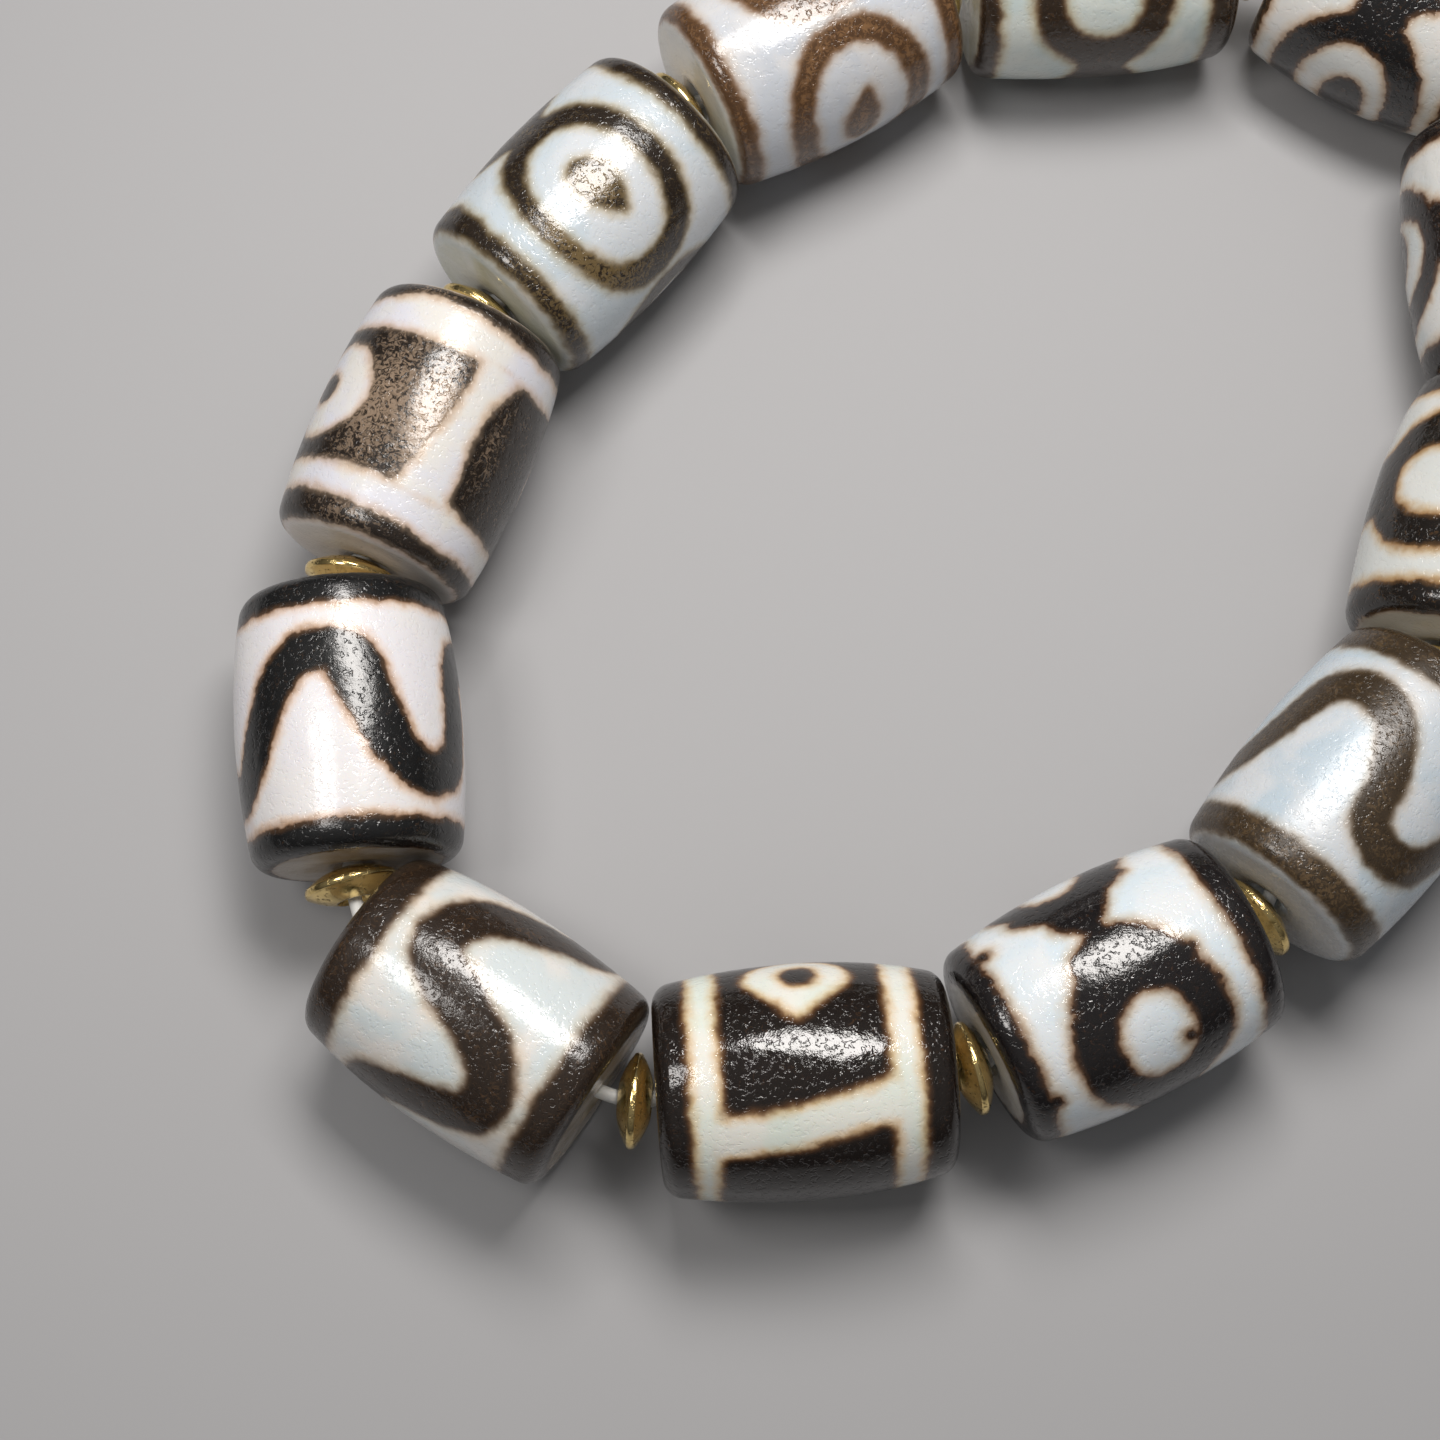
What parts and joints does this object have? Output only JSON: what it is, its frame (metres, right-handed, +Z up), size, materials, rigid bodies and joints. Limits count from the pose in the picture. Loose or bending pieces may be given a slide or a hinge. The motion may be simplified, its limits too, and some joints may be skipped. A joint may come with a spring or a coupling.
{
  "type": "agate bead bracelet",
  "caption": "Stretch bracelet of barrel-shaped patterned agate beads with small lens-shaped metal spacers on an elastic thread, lying flat in a loop.",
  "frame": {"origin": "middle of the loop at the surface the beads lie on, the centre of the bottom of the bounding box", "axes": "+Z up along the loop's axis, through which the wrist goes; +X and +Y in the plane of the loop"},
  "size_m": [0.0824, 0.0818, 0.0131],
  "materials": {
    "agate": "polished agate with dark brown and white baked patterns",
    "spacer_metal": "polished yellow plated brass",
    "elastic": "white stretch thread"
  },
  "bodies": {
    "root": {"bead_1": "agate", "bead_2": "agate", "bead_3": "agate", "bead_4": "agate", "bead_5": "agate", "bead_6": "agate", "bead_7": "agate", "bead_8": "agate", "bead_9": "agate", "bead_10": "agate", "bead_11": "agate", "bead_12": "agate", "spacer_1": "spacer_metal", "spacer_2": "spacer_metal", "spacer_3": "spacer_metal", "spacer_4": "spacer_metal", "spacer_5": "spacer_metal", "spacer_6": "spacer_metal", "spacer_7": "spacer_metal", "spacer_8": "spacer_metal", "spacer_9": "spacer_metal", "spacer_10": "spacer_metal", "spacer_11": "spacer_metal", "spacer_12": "spacer_metal", "elastic": "elastic"}
  },
  "joints": []
}
